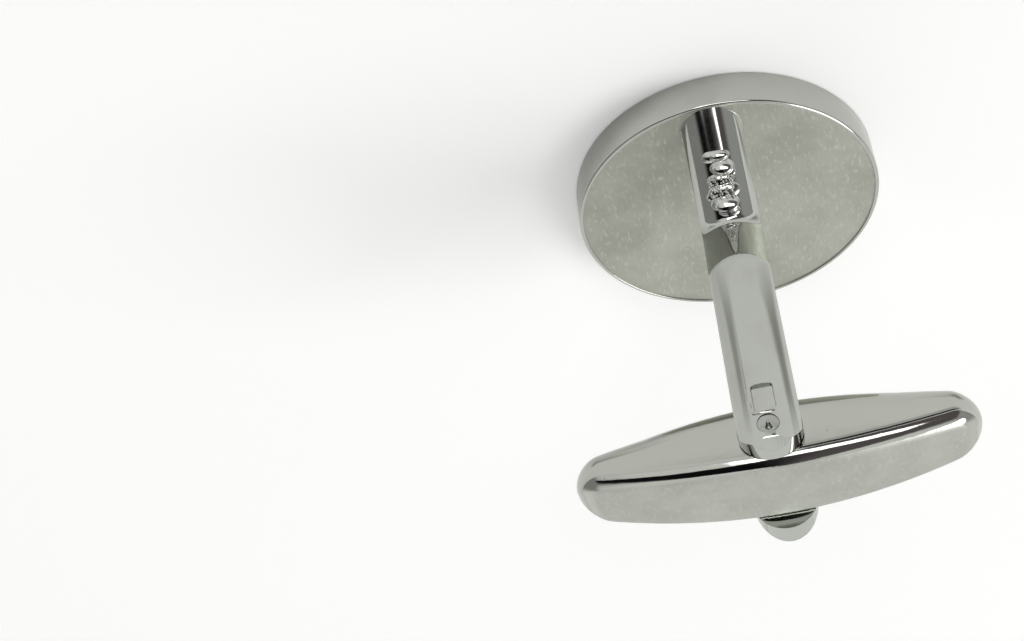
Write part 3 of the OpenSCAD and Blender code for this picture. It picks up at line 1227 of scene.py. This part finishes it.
@dataclass
class Bar:
    """The swivelling bar: a lens from the side and from above, with rounded edges and blunt ends."""

    post: Post
    end_w: float = 3.5
    end_h: float = 1.5
    nose: float = 1.3
    edge_r: float = 0.8
    low_edge_r: float = 1.4
    corner_share: float = 0.95
    edge_steps: int = 14
    steps: int = 40
    nose_steps: int = 12
    nose_flat: float = 0.35
    nose_short: float = 0.004
    slice_w: float = 0.02
    bore_clear: float = 0.04
    low: Vector = field(init=False)
    high: Vector = field(init=False)

    def __post_init__(self) -> None:
        """Takes the bar's outer size from the frame."""
        self.low, self.high = box_mm("toggle")

    @property
    def middle(self) -> Vector:
        """The bar's middle."""
        return (self.low + self.high) / 2

    @property
    def body_end(self) -> float:
        """Where the noses start, from the bar's middle."""
        return (self.high.x - self.low.x) / 2 - self.nose

    def half_sizes(self, x: float) -> tuple[float, float]:
        """Half the width and height of the lens.

        Args:
            x: Distance from the bar's middle.

        Returns:
            Both halves, before the ends are rounded off.
        """
        size = self.high - self.low
        share = (2 * x / size.x) ** 2
        return (size.y + (self.end_w - size.y) * share) / 2, (size.z + (self.end_h - size.z) * share) / 2

    def corner(self, x: float, up: int) -> Triple:
        """The rounded corner of a section.

        Args:
            x: Distance of the section from the bar's middle.
            up: 1 for an upper and -1 for a lower corner.

        Returns:
            The rounding's centre across and up from the section's middle, and its radius.
        """
        half_w, half_h = self.half_sizes(x)
        radius = min(self.edge_r if up > 0 else self.low_edge_r, self.corner_share * half_h)
        return half_w - radius, half_h - radius, radius

    def build(self, metal: Material) -> None:
        """Builds the bar in its finish."""
        self._bar().finish(Body.TOGGLE, Slot.BAR, "toggle", metal)

    def _bar(self) -> Workpiece:
        """The bar: a middle slice drawn out to both ends, and drilled.

        Returns:
            The workpiece.
        """
        middle = self.middle
        half_w, half_h = self.half_sizes(0)
        bar = Workpiece.block("bar_forged", (self.slice_w, 2 * half_w, 2 * half_h), middle)
        for radius, up in ((self.edge_r, 1), (self.low_edge_r, -1)):
            bar.edges(lambda a, b, up=up: abs(a.x - b.x) > self.slice_w / 2
                      and (a.z - middle.z) * up > half_h - NEAR)
            bar.bevel(radius, self.edge_steps)
        for side in (-1, 1):
            self._draw_nose(bar, side, self._draw_body(bar, side))
        bar.clean()
        drill = Workpiece.rod("bore_drill", self.post.pin_r + self.bore_clear, 2 * (self.high.y - self.low.y),
                              self.post.pin, ALONG_Y)
        bar.cut(drill, Cut.TAKE_OFF)
        return bar.clean()

    def _draw_end(self, bar: Workpiece, side: int, face_x: float, x: float) -> float:
        """Draws one end face further out.

        Args:
            bar: The bar.
            side: The end's side.
            face_x: Where the end face is.
            x: How far from the bar's middle it goes.

        Returns:
            Where the end face is then.
        """
        target_x = self.middle.x + side * x
        bar.faces(lambda m, n: n.x * side > FACING and abs(m.x - face_x) < NEAR)
        bar.extrude((target_x - face_x, 0, 0))
        return target_x

    def _draw_body(self, bar: Workpiece, side: int) -> float:
        """Draws one half of the body out, with its corners fitted to the lens at every step.

        Args:
            bar: The bar.
            side: The half's side.

        Returns:
            Where its end face is.
        """
        middle = self.middle
        face_x = middle.x + side * self.slice_w / 2
        before_x = 0.0
        for step in range(1, self.steps + 1):
            x = self.body_end * step / self.steps
            face_x = self._draw_end(bar, side, face_x, x)
            for up, over in ((-1, -1), (-1, 1), (1, -1), (1, 1)):
                was, now = self.corner(before_x, up), self.corner(x, up)
                bar.points(lambda p, fx=face_x, u=up, o=over: abs(p.x - fx) < NEAR
                           and (p.z - middle.z) * u > 0 and (p.y - middle.y) * o > 0)
                centre = (face_x, middle.y + over * was[0], middle.z + up * was[1])
                bar.resize((1, now[2] / was[2], now[2] / was[2]), centre)
                bar.move((0, (now[0] - was[0]) * over, (now[1] - was[1]) * up))
            before_x = x
        return face_x

    def _draw_nose(self, bar: Workpiece, side: int, face_x: float) -> None:
        """Draws one end out to its rounded nose.

        Args:
            bar: The bar.
            side: The end's side.
            face_x: Where the end face is.
        """
        before, cap = self.half_sizes(self.body_end), 1.0
        for step in range(1, self.nose_steps + 1):
            angle = math.pi / 2 * step / (self.nose_steps + self.nose_flat)
            x = self.body_end + self.nose * math.sin(angle)
            now, factor = self.half_sizes(x), math.cos(angle) / cap
            face_x = self._draw_end(bar, side, face_x, x)
            bar.resize((1, factor * now[0] / before[0], factor * now[1] / before[1]),
                       (face_x, self.middle.y, self.middle.z))
            before, cap = now, math.cos(angle)
        bar.faces(lambda m, n: n.x * side > FACING and abs(m.x - face_x) < NEAR)
        bar.move((self.middle.x + side * (self.body_end + self.nose - self.nose_short) - face_x, 0, 0))


# Studio


@dataclass(frozen=True)
class Card:
    """A sheet of card on the floor that shows in reflections only."""

    name: str
    size: Pair
    middle: Pair
    turn: float
    shade: Triple
    softness: float = 0.8

    def lay(self, height: float) -> bpy.types.Object:
        """Lays the card down.

        Args:
            height: Its height over the floor, in millimetres.

        Returns:
            The card.
        """
        Workpiece.clear_bench()
        place = Vector((*self.middle, height)) * MM
        bpy.ops.mesh.primitive_plane_add(size=1, location=place, rotation=(0, 0, self.turn))
        card = bpy.context.object
        card.name = self.name
        card.scale = (self.size[0] * MM, self.size[1] * MM, 1)
        card.data.materials.append(self._paint())
        card.visible_camera = False
        card.visible_diffuse = False
        card.visible_shadow = False
        return card

    def _paint(self) -> Material:
        """The card's shade, which fades into the floor's towards its borders.

        Returns:
            The material.
        """
        made = bpy.data.materials.new(self.name)
        graph = Graph(made)
        place = graph.node("ShaderNodeTexCoord").outputs["Object"]
        share = self._inside(graph.axis(place, "X")).smaller(self._inside(graph.axis(place, "Y")))
        colour = graph.blend(share, FLOOR_COLOUR, self.shade)
        shader = graph.node("ShaderNodeBsdfDiffuse", None, {"Color": colour})
        graph.node("ShaderNodeOutputMaterial", None, {"Surface": shader.outputs[0]})
        return made

    def _inside(self, place: Wire) -> Wire:
        """The share of the card's shade at one coordinate, which runs from -0.5 to 0.5."""
        return abs(place).step(0.5, 0.5 - self.softness / 2)


def matt(name: str, colour: Triple, lift: float) -> Material:
    """A plain matt paint for the studio, which looks a little lighter in the picture than it is.

    Args:
        name: The paint's name.
        colour: Its colour.
        lift: How much lighter the picture shows it.

    Returns:
        The material.
    """
    made = bpy.data.materials.new(name)
    graph = Graph(made)
    shader = graph.node("ShaderNodeBsdfDiffuse", None, {"Color": colour})
    glow = graph.node("ShaderNodeEmission", None, {"Color": WHITE, "Strength": graph.seen_by_camera() * lift})
    both = graph.node("ShaderNodeAddShader", None, {0: shader.outputs[0], 1: glow.outputs[0]})
    graph.node("ShaderNodeOutputMaterial", None, {"Surface": both.outputs[0]})
    return made


@dataclass
class Studio:
    """The floor, the soft surroundings, the lamp, the cards and the camera."""

    eye: Triple = (-1.079, -66.18, 59.224)
    azimuth: float = math.radians(-11.38)
    elevation: float = math.radians(37.93)
    roll: float = math.radians(175.63)
    focal_px: float = 1619.54
    image_w: int = 1024
    sensor: float = 36.0
    lamp_at: Triple = (-0.55, 0.1, 0.6)
    lamp_size: float = 0.5
    lamp_power: float = 2.6
    wall_level: float = 0.84
    left_level: float = 0.3
    right_level: float = 0.4
    flank_change: Pair = (0.3, -0.3)
    sill_rise: float = 0.56
    sill_step: Pair = (-0.1, 0.1)
    sill_drop: float = 0.2
    sill_slope: Pair = (0.4, 0.8)
    front_fall: float = 0.5
    front_half: Pair = (1.0, 0.75)
    front_foot: Pair = (-0.02, 0.03)
    front_top: Pair = (1.56, 1.48)
    flank_at: float = 1.35
    flank_half: Pair = (0.95, 0.5)
    flank_top: Pair = (1.1, 0.7)
    window_level: float = 3.2
    window_at: Pair = (-0.17, 0.36)
    window_half: Pair = (0.34, 0.2)
    window_slope: float = 0.3
    window_taper: float = 0.15
    window_edge: float = 0.04
    dark_left: Triple = (0.006, 0.006, 0.007)
    dark_right: Triple = (0.12, 0.105, 0.11)
    dark_change: Pair = (0.15, -0.3)
    pale: Triple = (1.0, 1.0, 0.985)
    card_gap: float = 0.05
    floor_size: float = 6.0
    far_clip: float = 20.0
    cards: tuple[Card, ...] = (
        Card("left_card", (12, 22), (19, -14), math.radians(65), (0.5, 0.5, 0.48)),
        Card("right_card", (16, 24), (-22, -7), math.radians(-86), (0.42, 0.42, 0.4)),
        Card("front_card", (110, 34), (-30, -50), 0.0, (0.55, 0.55, 0.53)),
        Card("table_edge", (120, 290), (-60, -207), 0.0, (0.04, 0.035, 0.04), 0.1),
    )

    def build(self) -> None:
        """Sets the whole studio up."""
        self._camera()
        self._floor()
        self._surroundings()
        self._lamp()
        bpy.context.scene.view_settings.view_transform = "Standard"

    def _camera(self) -> None:
        """Puts the camera where the picture was taken from."""
        data = bpy.data.cameras.new("camera")
        data.sensor_width = self.sensor
        data.lens = self.sensor * self.focal_px / self.image_w
        data.clip_start = 1 * MM
        data.clip_end = self.far_clip
        camera = bpy.data.objects.new("camera", data)
        turn = Matrix.Rotation(self.azimuth, 4, "Z") @ Matrix.Rotation(math.pi / 2 - self.elevation, 4, "X")
        turn = turn @ Matrix.Rotation(self.roll, 4, "Z")
        camera.matrix_world = Matrix.Translation(Vector(self.eye) * MM) @ turn
        bpy.context.scene.collection.objects.link(camera)
        bpy.context.scene.camera = camera

    def _floor(self) -> None:
        """Lays the pale floor and the cards."""
        Workpiece.clear_bench()
        bpy.ops.mesh.primitive_plane_add(size=self.floor_size)
        floor = bpy.context.object
        floor.name = "floor"
        floor.data.materials.append(matt("pale_floor", FLOOR_COLOUR, FLOOR_LIFT))
        cards = [card.lay(self.card_gap * place) for place, card in enumerate(self.cards, start=1)]

    def _surroundings(self) -> None:
        """Paints the surroundings by side, from 0 in front, and height, both in radians.

        They are pale, with grey flanks and a dark front whose foot steps up towards the left. A low window,
        which slopes and narrows to the right, lies in the front. A pair of numbers says where a soft border
        starts and ends.
        """
        world = bpy.data.worlds.new("studio")
        bpy.context.scene.world = world
        graph = Graph(world)
        ray = graph.node("ShaderNodeTexCoord").outputs["Generated"]
        x, y, z = (graph.axis(ray, name) for name in "XYZ")
        side = x.angle_with(y * -1)
        height = z.arcsine()
        sill = side.step(*self.sill_step) * self.sill_rise - abs(side).step(*self.sill_slope) * self.sill_drop
        front = abs(side).step(*self.front_half) * (height - sill).step(*self.front_foot)
        front *= (height + side * self.front_fall).step(*self.front_top)
        flank = abs(abs(side) - self.flank_at).step(*self.flank_half) * height.step(*self.flank_top)
        across = abs(side - self.window_at[0])
        up = abs(height + side * self.window_slope - self.window_at[1]) - side * self.window_taper
        half_w, half_h = self.window_half
        window = across.step(half_w, half_w - self.window_edge) * up.step(half_h, half_h - self.window_edge)
        change = self.right_level - self.left_level
        flank_level = side.step(*self.flank_change) * change + self.left_level
        level = (1 - flank) * self.wall_level + flank * flank_level
        pale = graph.blend(level, (0.0, 0.0, 0.0), self.pale)
        shade = graph.blend(side.step(*self.dark_change), self.dark_left, self.dark_right)
        around = graph.node("ShaderNodeBackground", None, {"Color": graph.blend(front, pale, shade)})
        glow = window * self.window_level
        pane = graph.node("ShaderNodeBackground", None, {"Color": WHITE, "Strength": glow})
        lit = graph.node("ShaderNodeAddShader", None, {0: around.outputs[0], 1: pane.outputs[0]})
        plain = graph.node("ShaderNodeBackground", None, {"Color": WHITE})
        sockets = {0: graph.seen_by_camera(), 1: lit.outputs[0], 2: plain.outputs[0]}
        both = graph.node("ShaderNodeMixShader", None, sockets)
        graph.node("ShaderNodeOutputWorld", None, {"Surface": both.outputs[0]})

    def _lamp(self) -> None:
        """Hangs one large soft lamp."""
        data = bpy.data.lights.new("soft_lamp", "AREA")
        data.shape = "DISK"
        data.size = self.lamp_size
        data.energy = self.lamp_power
        lamp = bpy.data.objects.new("soft_lamp", data)
        place = Vector(self.lamp_at)
        lamp.matrix_world = Matrix.Translation(place) @ place.to_track_quat("Z", "Y").to_matrix().to_4x4()
        bpy.context.scene.collection.objects.link(lamp)


def main() -> None:
    """Builds the cufflink round its frame."""
    logging.basicConfig(level=logging.INFO, format="%(name)s: %(message)s")
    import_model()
    Studio().build()
    rim = Polished("polished_rim", (0.53, 0.545, 0.505), (0.46, 0.47, 0.43), 0.09).material()
    wall = Satin("satin_wall", (0.5, 0.51, 0.455), (0.4, 0.41, 0.355), 0.46).material()
    strips = Polished("polished_strip", (0.54, 0.555, 0.52), (0.47, 0.48, 0.445), 0.06).material()
    bar_metal = FacedBar("faced_bar", (0.53, 0.545, 0.5), (0.45, 0.46, 0.415), 0.05).material()
    solder = Solder("flowed_solder", (0.6, 0.61, 0.58), (0.42, 0.42, 0.4), 0.05, crust_rise=0.004).material()
    foot = Solder("dull_solder", (0.42, 0.43, 0.4), (0.36, 0.36, 0.34), 0.38).material()
    pin_metal = Polished("filed_pin", (0.47, 0.48, 0.455), (0.38, 0.38, 0.36), 0.2, hairline=0.003).material()
    plate = Turned("turned_plate", (0.5, 0.51, 0.48), (0.43, 0.44, 0.41), 0.3).material()
    head = Head()
    head.build(rim, wall, plate)
    post = Post(head)
    post.build(strips)
    Joints(post).build(solder, foot, pin_metal)
    Bar(post).build(bar_metal)


if __name__ == "__main__":
    main()
